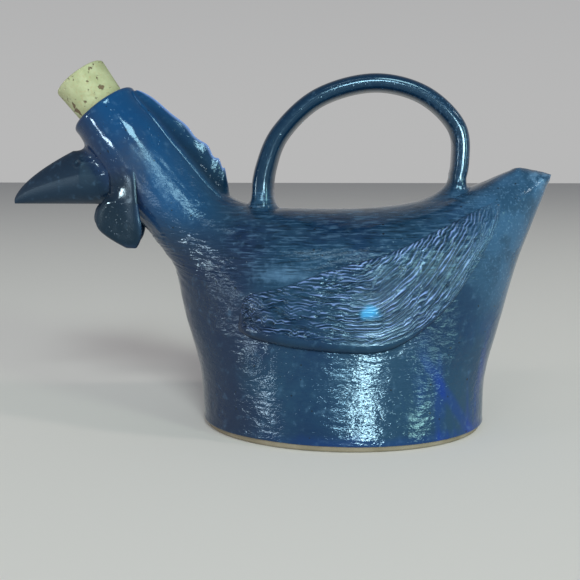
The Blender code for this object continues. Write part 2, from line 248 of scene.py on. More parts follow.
def slab_rows():
    """Ovals that spread over the underside, turn up round the lower edge and close over the top. The
    underside is a shallow hollow, and the outline wanders by a small share of its size."""
    under = np.linspace(0.05, 1 - (SLAB_INSET + SLAB_EDGE) / HALF_WIDTH, 14)
    lift = SLAB_HOLLOW * np.clip(1 - (under / 0.9) ** 2, 0, 1)
    bend = np.linspace(0, math.pi / 2, 9)[1:]
    edge = 1 - (SLAB_INSET + SLAB_EDGE * (1 - np.sin(bend))) / HALF_WIDTH
    share = np.concatenate([under, edge, [edge[-1], edge[-1], 0.5, 0.05]])
    side_and_top = SLAB_THICKNESS * np.array([0.6, 1.0, 1.0, 1.0])
    height = np.concatenate([lift, SLAB_EDGE * (1 - np.cos(bend)), side_and_top])
    middle = (FOOT_FRONT + FOOT_REAR) / 2
    reach = (FOOT_REAR - FOOT_FRONT) / 2
    uneven = 1 + SLAB_WANDER * patchy(TURN / TURN[1] / 16, 0.5, 3) * np.sin(TURN / 2) ** 2
    x = middle + reach * share[:, None] * np.cos(TURN) * uneven
    y = HALF_WIDTH * share[:, None] * np.sin(TURN) * uneven
    return np.stack([x, y, np.broadcast_to(height[:, None], x.shape)], axis=-1)


clay_foot = closed_skin("clay_foot", slab_rows(), bare_clay)
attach(clay_foot, "pot")
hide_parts("base_slab")

# Pot: one stoneware skin, thrown as a ring, squeezed oval, closed over the back and pinched shut into
# the tail, with the neck luted on at the front. A blue glaze covers it and stops short of the foot.
BACK_HEIGHT = 0.100
WALL = 0.005
SEAM = 0.0003
TAIL_REACH = 0.0270
TAIL_RISE = 0.0185
NECK_ANGLE = math.radians(53)
NECK_WIDTH = 0.039
NECK_DEPTH = 0.975 * NECK_WIDTH
LIP_WIDTH = 0.0326
LIP_HEIGHT = -0.045 * LIP_WIDTH
MOUTH = np.array([-HALF_LENGTH - 0.0458, 0.0, BACK_HEIGHT + 0.0449])
AXIS = np.array([-math.cos(NECK_ANGLE), 0.0, math.sin(NECK_ANGLE)])
ACROSS = np.array([math.sin(NECK_ANGLE), 0.0, math.cos(NECK_ANGLE)])
CORK_TOP = 0.0254
CORK_BOTTOM = 0.0210
CORK_LENGTH = 0.03175
CORK_PROUD = 0.0178
CORK_DEPTH = CORK_LENGTH - CORK_PROUD
HAND_SWAY = 0.0002
RING_PITCH = 0.0024
RING_DEPTH = 0.00003
DENT_PITCH = 0.0045
FINE_DENT_PITCH = 0.0021
DENT_DEPTH = 0.00005
SCRATCH_DEPTH = 0.00012
SLIP_DEPTH = 0.00016
BREAST_X = -0.035
BREAST_FADE = 0.03
BEAD_HEIGHT = 0.0005
BEAD_INSET = 0.0024
BEAD_WIDTH = 0.0015
GLAZE_LINE = 0.0026
GLAZE_WANDER = 0.0005


def level(front, rear, width, dip=0.0, pinch=0.0):
    """A body ring: x in half lengths of the base, heights in back heights, width in half widths."""
    return (front[0] * HALF_LENGTH, front[1] * BACK_HEIGHT, rear[0] * HALF_LENGTH,
            rear[1] * BACK_HEIGHT, width * HALF_WIDTH, dip * BACK_HEIGHT, pinch)


def neck_ring(height, radius):
    """A round ring square to the neck, at a height above the mouth."""
    front = MOUTH + AXIS * height - ACROSS * radius
    rear = MOUTH + AXIS * height + ACROSS * radius
    return (front[0], front[2], rear[0], rear[2], radius, 0.0, 0.0)


def spline(knots, t):
    """Smooth curve through the rows of knots; t counts the rows from 0."""
    knots = np.asarray(knots, dtype=float)
    padded = np.vstack([2 * knots[0] - knots[1], knots, 2 * knots[-1] - knots[-2]])
    t = np.asarray(t, dtype=float)
    i = np.clip(np.floor(t).astype(int), 0, len(knots) - 2)
    s = (t - i)[..., None]
    a, b, c, d = (padded[i + k] for k in range(4))
    return b + 0.5 * s * (c - a + s * (2 * a - 5 * b + 4 * c - d + s * (3 * (b - c) + d - a)))


def straight(knots, t):
    """The same from row to row in straight lines."""
    knots = np.asarray(knots, dtype=float)
    i = np.clip(np.floor(t).astype(int), 0, len(knots) - 2)
    s = (t - i)[..., None]
    return knots[i] * (1 - s) + knots[i + 1] * s


def loft(rings, t, angle, curve=spline):
    """Points of a skin: t counts the rings, each of which runs from a front point to a rear point.
    The angle goes round from the rear; the sides dip, and the rear end is pinched narrow."""
    t, angle = np.broadcast_arrays(t, angle)
    front_x, front_z, rear_x, rear_z, half_width, dip, pinch = np.moveaxis(curve(rings, t), -1, 0)
    c = np.cos(angle)
    s = np.sin(angle)
    x = (front_x + rear_x) / 2 + (rear_x - front_x) / 2 * c
    y = half_width * s * (1 - pinch * ((1 + c) / 2) ** 4)
    z = (front_z + rear_z) / 2 + (rear_z - front_z) / 2 * c - dip * s ** 2
    return np.stack([x, y, z], axis=-1)


FOOT_Z = (SLAB_THICKNESS + SEAM) / BACK_HEIGHT
TIP_X = 1 + TAIL_REACH / HALF_LENGTH
TIP_Z = 1 + TAIL_RISE / BACK_HEIGHT
OUTSIDE = (
    level((FOOT_FRONT / HALF_LENGTH, FOOT_Z), (FOOT_REAR / HALF_LENGTH, FOOT_Z), 0.994),
    level((-1.032, 0.27), (1.000, 0.25), 0.930),
    level((-1.126, 0.50), (1.100, 0.51), 0.878, dip=0.03),
    level((-1.191, 0.685), (1.218, 0.80), 0.875, dip=0.125, pinch=0.10),
    level((-1.230, 0.75), (TIP_X, TIP_Z - 0.035), 0.86, dip=0.225, pinch=0.57),
    level((-1.262, 0.78), (TIP_X - 0.21, TIP_Z), 0.785, dip=0.185, pinch=0.52),
    level((-1.292, 0.805), (0.80, 1.08), 0.70, dip=0.10, pinch=0.30),
    level((-1.323, 0.83), (0.31, 1.005), 0.605, dip=0.045, pinch=0.10),
    level((-1.354, 0.86), (-0.31, 0.996), 0.505, dip=0.02),
    level((-1.392, 0.895), (-0.77, 1.035), 0.44),
    neck_ring(-NECK_DEPTH, NECK_WIDTH / 2),
    neck_ring(-NECK_DEPTH * 0.5, NECK_WIDTH / 2 * 0.95),
    neck_ring(-NECK_DEPTH * 0.16, NECK_WIDTH / 2 * 0.86),
    neck_ring(LIP_HEIGHT, LIP_WIDTH / 2),
)
TAIL_EDGE, TAIL_TOP = 3, 5
NAPE = 9
MOUTH_END = len(OUTSIDE) - 1


def shape(t, angle):
    """The pot's loft, with the tail's pinched end drawn out straight to a corner at its tip."""
    t, angle = np.broadcast_arrays(t, angle)
    crisp = 0.9 * ((1 + np.cos(angle)) / 2) ** 12 * ((t > TAIL_EDGE) & (t < TAIL_TOP))
    smooth = loft(OUTSIDE, t, angle)
    return smooth + crisp[..., None] * (loft(OUTSIDE, t, angle, straight) - smooth)


def skin_normal(t, angle):
    """Unit outward normals of the pot, from small steps along and round it."""
    step = 0.002
    high = np.minimum(t + step, MOUTH_END)
    low = np.maximum(t - step, 0)
    along = shape(high, angle) - shape(low, angle)
    around = shape(t, angle + step) - shape(t, angle - step)
    out = np.cross(around, along)
    return out / np.linalg.norm(out, axis=-1, keepdims=True)


def skin(t, angle, proud=0.0):
    """The pot's surface: the loft with the slow unevenness that hands leave, raised by a distance."""
    uneven = (np.sin(2 * angle + 1.3) * np.sin(0.9 * t + 0.5) + 0.6 * np.sin(3 * angle + 2.1 * t)
              + 0.4 * np.sin(5 * angle - 1.7 * t + 0.8))
    rise = np.broadcast_to(HAND_SWAY * uneven + proud, np.broadcast(t, angle).shape)
    return shape(t, angle) + skin_normal(t, angle) * rise[..., None]


def tail_bead(place):
    """Height of the bead rolled along the tail's end: a low ridge a little in from the end's line, that
    dies out at the middle, where the two sides meet."""
    start, stop = (np.array(OUTSIDE[k][2:4]) for k in (TAIL_TOP - 1, TAIL_TOP))
    from_start = place[..., [0, 2]] - start
    share = np.clip(from_start @ (stop - start) / ((stop - start) ** 2).sum(), 0, 1)
    from_end = np.linalg.norm(from_start - share[..., None] * (stop - start), axis=-1)
    bead = np.exp(-((from_end - BEAD_INSET) / BEAD_WIDTH) ** 2)
    return BEAD_HEIGHT * bead * (1 - np.exp(-(place[..., 1] / BEAD_WIDTH) ** 2))


def hand_marks(t, angle):
    """Heights left by the hands: faint rings and shallow dents from the fingers up the wall, long
    scratches across the shoulder, lumps of slip where the neck was luted on to the breast, and the
    tail's bead. The pattern is folded over at the two ends, so that it has no seam."""
    place = shape(t, angle)
    cells = np.abs((angle + math.pi) % (2 * math.pi) - math.pi) * PATCH_CELLS / (2 * math.pi)
    sway = patchy(cells / 4, t * 2, 11)
    strength = 0.6 + 0.4 * patchy(cells / 2, t * 5, 12)
    wall = np.clip(1 - (t - 2.0) / 0.8, 0, 1)
    rings = np.sin(2 * math.pi * place[..., 2] / RING_PITCH + 2.2 * sway) * strength
    dents = patchy(cells, place[..., 2] / DENT_PITCH, 16)
    dents = dents + 0.5 * patchy(cells * 2, place[..., 2] / FINE_DENT_PITCH, 17)
    shoulder = np.clip(t - TAIL_EDGE, 0, 1) * np.clip(NAPE - t, 0, 1)
    scratches = np.clip(patchy(cells / 2, t * 14, 13), 0, 1)
    front = np.clip((BREAST_X - place[..., 0]) / BREAST_FADE, 0, 1) * np.clip(t - 1.2, 0, 1)
    luted = front * np.clip((10.7 - t) / 0.8, 0, 1)
    lumps = patchy(cells, t * 6, 14) + 0.6 * patchy(cells / 2, t * 3, 15)
    return (wall * (RING_DEPTH * rings + DENT_DEPTH * dents) - SCRATCH_DEPTH * shoulder * scratches
            + SLIP_DEPTH * luted * lumps + tail_bead(place))


def cork_radius(height):
    """Radius of the cork at a height above the mouth."""
    return (CORK_TOP - (CORK_TOP - CORK_BOTTOM) * (CORK_PROUD - height) / CORK_LENGTH) / 2


def pot_rows():
    """Rows of the pot: the glaze's rolled edge above the foot, the outside up to the mouth, round the
    lip, down the seat of the cork, and back down the inside of the neck and the wall."""
    turn = TURN[None, :]
    outer_t = np.concatenate([np.linspace(0, 2.5, 96), np.linspace(2.5, NAPE, 105)[1:],
                              np.linspace(NAPE, MOUTH_END, 50)[1:]])[:, None]
    outer = skin(outer_t, turn, hand_marks(outer_t, turn))
    wander = GLAZE_WANDER * patchy(turn / TURN[1] / 20, 0.5, 5) * np.sin(turn / 2) ** 2
    drop = np.array([1.0, 1.0, 0.93, 0.8, 0.55, 0.25])[:, None]
    swell = np.array([-0.0006, 0.0, 0.00018, 0.00022, 0.00014, 0.00005])[:, None]
    hem = outer[0] + skin_normal(0.0, TURN) * [1, 1, 0] * swell[..., None]
    hem[..., 2] = outer[0, :, 2] + (GLAZE_LINE + wander - outer[0, :, 2]) * drop
    bore = cork_radius(0.0) + SEAM
    middle = (LIP_WIDTH / 2 + bore) / 2
    roll = (LIP_WIDTH / 2 - bore) / 2
    bend = np.linspace(0, math.pi, 14)[1:-1]
    lip = [neck_ring(LIP_HEIGHT + roll * 0.9 * math.sin(a), middle + roll * math.cos(a)) for a in bend]
    seat = [neck_ring(h, cork_radius(h) + SEAM) for h in np.linspace(LIP_HEIGHT, -CORK_DEPTH, 8)]
    throat = neck_ring(-CORK_DEPTH - WALL, NECK_WIDTH / 2 - WALL)
    gullet = neck_ring(-NECK_DEPTH, NECK_WIDTH / 2 - WALL * 0.8)
    thinner = np.array(OUTSIDE[:NAPE + 1])
    solid_tail = np.array([0, 0, 0, 0.9, 3.2, 2.0, 0.2, 0, 0, 0])
    thinner[:, 0] += WALL * 0.95
    thinner[:, 1] += WALL * 0.05 * np.arange(NAPE + 1)
    thinner[:, 2] -= WALL * (1 + solid_tail - 0.08 * np.arange(NAPE + 1))
    thinner[:, 3] -= WALL * (solid_tail + 0.1 * np.arange(NAPE + 1))
    thinner[:, 4] -= WALL * 1.2
    inside = np.concatenate([[throat, gullet], thinner[::-1]])
    tube = lip + seat
    return np.concatenate([
        hem, outer,
        loft(tube, np.arange(len(tube), dtype=float)[:, None], turn),
        loft(inside, np.linspace(0, len(inside) - 1, 34)[:, None], turn),
    ])


SLATE = (0.005, 0.021, 0.060)
TEAL = (0.010, 0.037, 0.077)
VIOLET = (0.010, 0.014, 0.037)
COBALT = (0.004, 0.026, 0.165)
NAVY = (0.004, 0.045, 0.138)
INDIGO = (0.008, 0.014, 0.044)
DEEP = (0.002, 0.008, 0.018)
DUSK = (0.003, 0.015, 0.038)
SKY = (0.030, 0.092, 0.182)
THIN = (0.030, 0.024, 0.024)
PALE = (0.115, 0.235, 0.390)
PALE_WEAR_AND_GLINT = (0.172, 0.272, 0.560)
HIGHLIGHT_BLUE = (0.050, 0.320, 0.640)
IRON = (0.006, 0.008, 0.012)
GLAZE_TINT = (0.50, 0.82, 1.0, 1.0)
SPECK_SCALE = 240.0
LUMP_DEPTH = 0.0008
PEEL_DEPTH = 0.00022
PINHOLE_DEPTH = 0.00005
blue_glaze, glaze_shader, glaze_place = new_material("blue_glaze")
glaze_x, glaze_z = (glaze_place.node("SeparateXYZ", {}, {0: glaze_place}, k) for k in (0, 2))
cloud = glaze_place.noise(26.0, 3.0)
mottle = glaze_place.noise(320.0, 3.0)
grit = glaze_place.noise(1000.0, 3.0)
runs = glaze_place.stretched(1.0, 1.0, 0.22).noise(75.0, 3.0)
tail_patches = glaze_place.noise(70.0, 5.0)
dashes = glaze_place.stretched(0.11, 0.11, 1.0).noise(1300.0, 3.0)

# Regions of the glaze, each a share from 0 to 1 with soft edges.
on_breast = (glaze_x + 0.05 * cloud).eased(0.010, -0.030) * glaze_z.eased(0.105, 0.075)
on_head = (glaze_x + 0.45 * (glaze_z - 0.110)).eased(-0.055, -0.080) * glaze_z.eased(0.085, 0.105)
on_throat = (0.8 * glaze_x + 0.6 * glaze_z + 0.01 * cloud).eased(0.007, -0.008) * on_head
on_beak = (0.8 * glaze_x + 0.6 * glaze_z).eased(-0.0150, -0.0235) * glaze_z.eased(0.078, 0.088)
on_rump = (glaze_x + 0.4 * (glaze_z - 0.080) + 0.02 * cloud).eased(0.050, 0.085)
on_tail_end = glaze_place.away((0.0865, 0.0, 0.1145), (1.0, 0.0, 1.0)).eased(0.008, 0.002)
on_handle = glaze_z.eased(0.104, 0.112) * glaze_x.eased(0.070, 0.060) * glaze_x.eased(-0.062, -0.050)
off_handle = 1.0 - on_handle
on_shoulder = glaze_z.eased(0.064, 0.078) * glaze_x.eased(-0.062, -0.040) * glaze_x.eased(0.070, 0.045)
on_shoulder = on_shoulder * off_handle
on_joint = glaze_z.eased(0.130, 0.114) * glaze_x.eased(-0.030, -0.060) * glaze_x.eased(-0.094, -0.084)

# Runs, pools, flecks and specks that the firing left in the glaze, and some painted light.
thin_glaze = glaze_place.away((-0.0935, -0.0175, 0.1180), (1.0, 1.0, 0.45)).eased(0.011, 0.004)
streaks = runs.eased(0.45, 0.65) * glaze_x.eased(0.010, 0.055) * glaze_z.eased(0.060, 0.020)
trickle = abs(glaze_x + 0.6 * glaze_z - 0.0597 + 0.004 * runs).eased(0.0035, 0.001)
trickle = trickle * glaze_z.eased(0.044, 0.032)
hem_pool = (glaze_z - 0.008 * runs).eased(0.004, 0.0) * glaze_x.eased(-0.045, 0.0)
# A pale patch above the front of the near wing.
pale_patch = glaze_place.away((-0.0245, -0.0375, 0.0735), (0.45, 1.0, 1.6))
pale_patch = (pale_patch + 0.016 * mottle).eased(0.017, 0.008)
flecks_and_tail_glint = 0.2 * mottle.eased(0.55, 0.85) + 0.3 * on_rump * grit.eased(0.56, 0.68)
# The tail's rolled end is paler where the glaze thins over it, with a painted highlight there too.
flecks_and_tail_glint = flecks_and_tail_glint + 0.5 * on_tail_end * mottle.eased(0.38, 0.56)
speck_pick = glaze_place.cells(SPECK_SCALE, 1)
speck_pick = speck_pick.node("SeparateColor", {}, {0: speck_pick})
specks = (glaze_place.cells(SPECK_SCALE) - 0.13 * speck_pick * speck_pick).eased(0.015, -0.015)
# Painted highlight: a bright blue spot on the near wing.
painted_highlight_spot = glaze_place.away((0.0111, -0.0455, 0.0588), (0.85, 1.0, 1.2))
painted_highlight_spot = (painted_highlight_spot + 0.004 * mottle).eased(0.0070, 0.0030)
# The ridge attribute: above 0 pale wear and painted highlights, below 0 pooled glaze and painted shade.
wear_and_painted_light = glaze_place.node("Attribute", {"attribute_name": "ridge"}, {}, 2)

# Colours laid one over the other, each by its share.
glaze_layers = (
    (0.8 * on_breast, VIOLET),
    (0.8 * on_head, NAVY),
    (0.75 * on_throat, INDIGO),
    (0.8 * on_beak, DEEP),
    (0.7 * on_rump, SKY),
    (0.7 * on_rump * tail_patches.eased(0.47, 0.62), TEAL),
    (0.85 * on_handle, DUSK),
    (0.6 * thin_glaze * mottle, THIN),
    (0.85 * streaks + 0.5 * trickle + 0.3 * hem_pool, COBALT),
    (flecks_and_tail_glint + 0.32 * pale_patch, PALE),
    (0.22 * on_shoulder * dashes.eased(0.52, 0.66), PALE),
    (0.6 * on_shoulder * dashes.eased(0.46, 0.34), DEEP),
    (0.85 * specks, IRON),
    # Pale wear and painted highlights on high ground, then pooled glaze and painted shade in hollows.
    (0.9 * wear_and_painted_light.eased(0.05, 0.9), PALE_WEAR_AND_GLINT),
    (0.8 * wear_and_painted_light.eased(-0.05, -0.9), DEEP),
    # Painted highlight on the near wing.
    (0.8 * painted_highlight_spot, HIGHLIGHT_BLUE),
)
glaze_colour = (cloud + 0.25 * mottle).eased(0.45, 0.75).between(SLATE, TEAL)
for share, colour in glaze_layers:
    glaze_colour = share.between(glaze_colour, colour)

# Surface of the glaze: lumps and orange peel, strongest in the pimpled patches, and fine pinholes.
PIMPLED = (
    ((0.040, -0.036, 0.045), (1.0, 1.0, 0.6), 0.020, 0.006),
    ((-0.039, -0.038, 0.035), (1.0, 1.0, 1.0), 0.009, 0.003),
    ((-0.052, -0.031, 0.062), (1.0, 1.0, 0.7), 0.014, 0.006),
)
pimples = sum(glaze_place.away(point, tall).eased(edge, full) for point, tall, edge, full in PIMPLED)
lumpy = 0.04 + 0.85 * pimples + 0.5 * on_tail_end + 0.07 * glaze_z.eased(0.060, 0.045)
lumpy = lumpy + 0.22 * glaze_x.eased(-0.075, -0.055) * off_handle
lumpy = lumpy + (0.12 + 0.23 * glaze_z.eased(0.085, 0.100)) * on_joint
flat_place = glaze_place.stretched(0.7, 0.7, 1.2)
glaze_normal = (flat_place.noise(300.0, 2.0) * lumpy).bump(LUMP_DEPTH)
glaze_normal = (flat_place.noise(1400.0, 2.0) * lumpy).bump(PEEL_DEPTH, glaze_normal)
glaze_normal = glaze_place.cells(520.0).eased(0.05, 0.24).bump(PINHOLE_DEPTH, glaze_normal)
satin_neck = on_head * glaze_z.eased(0.131, 0.122) * glaze_x.eased(-0.100, -0.094)
satin_beak = on_beak * glaze_x.eased(-0.106, -0.116)
glaze_rough = 0.06 + 0.12 * mottle * (1.0 - 0.7 * on_head) + 0.20 * satin_neck + 0.38 * satin_beak
dress(glaze_shader, Base_Color=glaze_colour, Roughness=glaze_rough, Specular_Tint=GLAZE_TINT,
      Normal=glaze_normal)

glazed_pot = closed_skin("glazed_pot", pot_rows(), blue_glaze, tube=True)
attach(glazed_pot, "pot")
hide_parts("body_wall", "neck")

# Wings: a pad of clay on each side of the wall, thick and rolled under along its lower edge and
# thinned out upwards, then combed into wavy feathers that sweep up to the tip.
WING_LOWER = ((128, 2.01), (119.5, 1.85), (98, 1.71), (73, 1.74), (57.3, 2.41), (49, 3.24),
              (44.5, 4.21))
WING_UPPER = ((127.5, 2.13), (119, 3.54), (98, 4.58), (78.7, 4.64), (62.3, 4.69), (48.7, 4.60),
              (41.4, 4.47))
WING_RELIEF = 0.0042
WING_BASE = 0.0006
WING_ROLL = 0.0028
WING_HEEL = 0.014
WING_NARROW = 0.014
FEATHER_PITCH = 0.0042
FEATHER_DEPTH = 0.0007
FEATHER_COUNT = 5
FEATHERED = 1.5 * WING_ROLL + (FEATHER_COUNT + 0.5) * FEATHER_PITCH
FINE_PITCH = FEATHER_PITCH / 3
EMBED = 0.0006
SUNK = 0.00015


def rounded(share):
    """Height of a quarter round, from 0 at its edge to 1."""
    return np.sqrt(1 - (1 - np.clip(share, 0, 1)) ** 2)


def from_lower_edge(flat):
    """Distance of each point of a wing from the nearest point of its lower edge."""
    edge = flat[::3, 0]
    spots = flat.reshape(-1, 3)
    square = (spots ** 2).sum(axis=1)[:, None] + (edge ** 2).sum(axis=1) - 2 * spots @ edge.T
    return np.sqrt(np.maximum(square.min(axis=1), 0)).reshape(flat.shape[:2])


def feather_lines(flat, run, width, v):
    """Combing of a wing: how deep each point is cut, how pale its crests are, from glaze thinned over
    them and from painted glints, and how dark its grooves are, from pooled glaze and painted shade.
    Main grooves lie at even distances up from the lower edge, and closer where the wing is narrow.
    Finer lines lie at even distances from the nearest point of that edge, waver and break, and grow
    faint towards both ends."""
    up = v * width
    along = run / run[-1]
    lines = (v * np.maximum(width, FEATHERED) - 1.5 * WING_ROLL) / FEATHER_PITCH
    main = np.clip(1 - np.abs(lines % 1 - 0.5) / 0.2, 0, 1) * (lines > 0) * (lines < FEATHER_COUNT)
    main = main * np.clip(1 - (along - 0.35) / 0.3, 0.4, 1)
    fine = from_lower_edge(flat) / FINE_PITCH
    stray = 2.3 - 1.4 * np.clip(along / 0.5, 0, 1)
    waver = stray * (0.45 * patchy(run / 0.006, fine / 4, 21) + 0.4 * patchy(run / 0.002, fine / 2, 22))
    crests = 0.5 - 0.5 * np.cos(2 * math.pi * (fine + waver))
    broken = np.clip(0.6 + 0.8 * patchy(run / (0.0012 + 0.006 * along), fine, 23) + 0.4 * along, 0.1, 1)
    inner = np.clip((up - WING_ROLL) / 0.0008, 0, 1) * np.clip((width - up) / 0.0015, 0, 1)
    inner = inner * np.clip(width / WING_NARROW, 0, 1) * np.clip(run / 0.006, 0, 1)
    combed = np.maximum(main * broken, broken * (1 - crests) ** 1.5) * inner
    # Pale crests: thinned glaze, with painted glints in patches, at the feather tips and towards the
    # rear.
    tips = np.clip(1 - (width - up) / 0.006, 0, 1) * np.clip((0.80 - along) / 0.1, 0, 1)
    glint = np.clip(0.5 + 0.6 * patchy(run / 0.004, fine * 1.3, 24) + 0.6 * tips, 0, 1.4)
    crest_wear_and_glint = inner * crests * glint * (0.35 + 0.65 * np.sqrt(along))
    fading = 1 - 0.6 * np.clip((along - 0.74) / 0.16, 0, 1)
    return combed, fading * (crest_wear_and_glint - 0.85 * combed)


def wing_rows(hand):
    """A leaf laid on the skin between two edges, u along it and v up it. Its height is a quarter
    round at the lower edge, then a taper, less the combing."""
    u = (1 - np.cos(np.linspace(0, math.pi, 350))) / 2 * (len(WING_LOWER) - 1)
    v = np.linspace(0, 1, 250)[None, :]
    low_angle, low_t = spline(WING_LOWER, u).T[:, :, None]
    high_angle, high_t = spline(WING_UPPER, u).T[:, :, None]
    t = low_t + (high_t - low_t) * v
    angle = hand * np.radians(low_angle + (high_angle - low_angle) * v)
    flat = skin(t, angle)
    steps = np.linalg.norm(np.diff(flat[:, 125], axis=0), axis=1)
    run = np.concatenate([[0.0], np.cumsum(steps)])[:, None]
    width = np.linalg.norm(np.diff(flat, axis=1), axis=2).sum(axis=1)[:, None]
    up = v * width
    along = run / run[-1]
    thick = WING_RELIEF * (0.5 + 0.5 * np.sqrt(along)) * (1 - 0.5 * along ** 4) * (1 - 0.7 * v)
    edges = rounded(up / WING_ROLL) * rounded((width - up) / WING_ROLL)
    heel = np.clip(run / WING_HEEL, 0, 1)
    ends = heel * (2 - heel) * np.clip((run[-1] - run) / (4 * WING_ROLL), 0, 1)
    combed, ridge = feather_lines(flat, run, width, v)
    height = (thick - FEATHER_DEPTH * combed + WING_BASE) * edges * ends - SUNK
    # Painted shade along the underside of the rolled lower edge.
    painted_shade_under_roll = np.clip(1 - up / 0.0034, 0, 1) * np.clip(run / 0.01, 0, 1)
    upper = skin(t, angle, height)
    under = skin(t[:, ::-50], angle[:, ::-50], -EMBED)
    ridge = np.concatenate([ridge - 0.7 * painted_shade_under_roll, np.zeros(under.shape[:2])], axis=1)
    return np.concatenate([upper, under], axis=1), ridge


for side, hand in (("near", -1), ("far", 1)):
    wing_points, wing_wear_and_painted_light = wing_rows(hand)
    wing = closed_skin("feathered_wing_" + side, wing_points, blue_glaze, ridge=wing_wear_and_painted_light)
    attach(wing, "pot")
    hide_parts("wing_" + side)

# Comb: a ridge of clay pinched up along the nape, hollow-faced where the fingers pressed, with a thin
# wavy edge whose waves lengthen up the neck. Its lower end stands straight up from the back.
COMB_HEIGHT = 0.0084
COMB_BEAD = 0.0010
COMB_SPREAD = 0.52
COMB_START = NAPE + 0.16
COMB_RUN = MOUTH_END - NAPE - 0.49


def comb_rows():
    """A patch of the nape raised along one line: t runs up the neck, q across from edge to edge. The
    height falls off from the middle as a hollow curve, with a low bead where it meets the neck."""
    t = np.concatenate([np.linspace(-0.02, 0.05, 16), np.linspace(0.05, 1.03, 120)[1:]])[:, None]
    q = np.linspace(-1, 1, 75)[None, :]
    q = np.sign(q) * np.abs(q) ** 1.6
    along = np.clip(t, 0, 1)
    ring = COMB_START + t * COMB_RUN
    angle = q * COMB_SPREAD * (1 - 0.5 * along ** 3)
    wave = 0.09 * (1 - along) * np.cos(9.6 * (np.log1p(20 * along) - 0.79))
    ends = np.clip((t + 0.015) / 0.03, 0, 1) ** 0.6 * np.clip((1.03 - t) / 0.06, 0, 1)
    rise = COMB_HEIGHT * (1 - 0.88 * along ** 1.4 + wave) * ends
    away = np.clip(np.sqrt(q ** 2 + 0.005) - 0.07, 0, 1)
    hollow = (1 - away) ** 4.5
    bead = COMB_BEAD * np.exp(-((np.abs(q) - 0.88) / 0.08) ** 2) * ends
    out = skin_normal(ring, np.zeros_like(ring))
    lean = np.clip(1 - along / 0.3, 0, 1)[..., None]
    stand = out * (1 - lean) + np.array([0.0, 0.0, 1.0]) * lean
    stand = stand / (stand * out).sum(axis=-1, keepdims=True)
    upper = skin(ring, angle, bead - SUNK) + stand * (rise * hollow)[..., None]
    under = skin(ring, angle[:, ::-12], -EMBED)
    # Painted shade on the hollow faces; the rim along the crest is pale where the glaze thins, with a
    # painted highlight.
    painted_shade_face = np.exp(-((np.abs(q) - 0.4) / 0.3) ** 2) * ends * (1 - 0.7 * along)
    rim = np.exp(-(q / 0.10) ** 2) * ends
    ridge = np.concatenate([0.9 * rim - 0.75 * painted_shade_face, np.zeros(under.shape[:2])], axis=1)
    return np.concatenate([upper, under], axis=1), ridge


comb_points, comb_wear_and_painted_light = comb_rows()
pinched_comb = closed_skin("pinched_comb", comb_points, blue_glaze, ridge=comb_wear_and_painted_light)
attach(pinched_comb, "pot")
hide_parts("comb")

# Beak: a solid cone of clay set on the front of the head and smoothed in with a finger, level
# underneath and bowed along the top, with a pair of nostrils pricked in each side.
BEAK_LENGTH = 0.0353
BEAK_WIDTH = 0.0240
BEAK_DEPTH = 0.0271
BEAK_TIP = MOUTH + np.array([-1.133, 0.0, -1.118]) * NECK_WIDTH
BEAK_BLUNT = 0.0007
BEAK_FILLET = 0.006
BEAK_SMEAR = 0.005
BEAK_RING = 11.0
NOSTRILS = ((-0.1181, 0.1226, 0.0011, 0.0009), (-0.1208, 0.1201, 0.0009, 0.0007))


def oval(turn, power):
    """A rounded box of two half sizes 1, as its two coordinates round the turn."""
    c = np.cos(turn)
    s = np.sin(turn)
    return np.sign(c) * np.abs(c) ** power, np.sign(s) * np.abs(s) ** power


def area(first, second):
    """Area between two flat vectors, with a sign for the way round."""
    return first[..., 0] * second[..., 1] - first[..., 1] * second[..., 0]


def meet(axes, target, t, angle):
    """The skin's points that have two given coordinates, by Newton's steps from a first guess."""
    step = 0.002
    t = np.full(target.shape[:-1], float(t))
    angle = np.full(target.shape[:-1], float(angle))
    for _ in range(14):
        gap = target - skin(t, angle)[..., axes]
        along = (skin(t + step, angle) - skin(t - step, angle))[..., axes] / (2 * step)
        around = (skin(t, angle + step) - skin(t, angle - step))[..., axes] / (2 * step)
        t = t + np.clip(area(gap, around) / area(along, around), -0.4, 0.4)
        angle = angle + np.clip(area(along, gap) / area(along, around), -0.3, 0.3)
        t = np.clip(t, 0.01, MOUTH_END - 0.01)
    return skin(t, angle, -0.0001)


def fillet(section, axes, spread, t, angle, steps):
    """Rows that carry a ring of points smoothly on to the skin: a curve that leaves the ring straight
    towards the skin and lands along it, a little outside where the ring would have met it."""
    flat = section[:, axes]
    middle = flat.mean(axis=0)
    away = flat - middle
    far = middle + away * (1 + spread / np.linalg.norm(away, axis=1, keepdims=True))
    corner = meet(axes, flat, t, angle)
    landing = meet(axes, far, t, angle)
    w = np.linspace(0, 1, steps)[1:, None, None]
    return (1 - w) ** 2 * section + 2 * w * (1 - w) * corner + w ** 2 * landing


